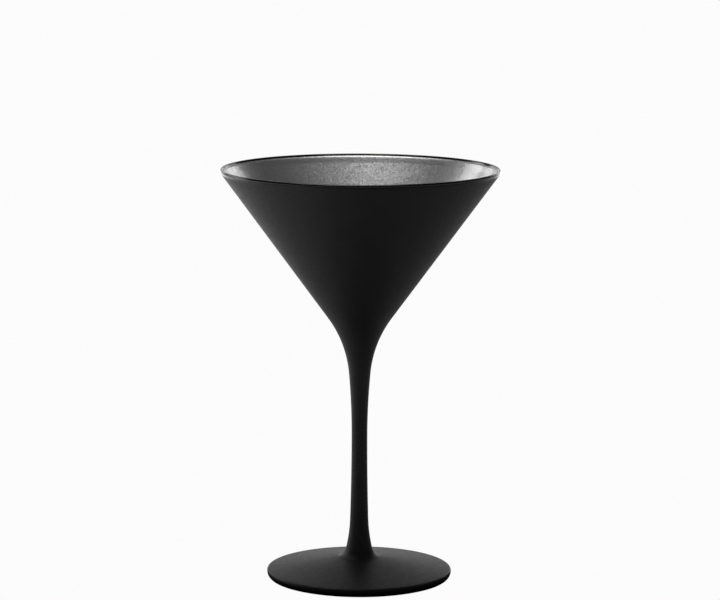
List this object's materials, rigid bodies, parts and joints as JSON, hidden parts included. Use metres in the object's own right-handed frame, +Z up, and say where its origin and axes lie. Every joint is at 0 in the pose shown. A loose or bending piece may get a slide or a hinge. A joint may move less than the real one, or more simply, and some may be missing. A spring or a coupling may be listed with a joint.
{
  "type": "martini glass",
  "caption": "Stemmed cocktail glass with a conical bowl, slim waisted stem and round foot, lacquered matt black outside and metallic silver inside.",
  "frame": {"origin": "centre of the ring under the foot that the glass rests on", "axes": "+Z up along the glass's axis of revolution; +X and +Y are any two square directions, because the glass is round"},
  "size_m": [0.116, 0.116, 0.172],
  "materials": {
    "clear_glass": "clear fire-polished soda-lime glass",
    "black_lacquer": "matt black sprayed lacquer, smoother over the lip",
    "silver_lacquer": "silver metallic-flake lacquer, semi-gloss"
  },
  "bodies": {
    "root": {"bowl": "clear_glass", "stem": "clear_glass", "foot": "clear_glass", "outer_lacquer": "black_lacquer", "silver_lining": "silver_lacquer"}
  },
  "joints": []
}
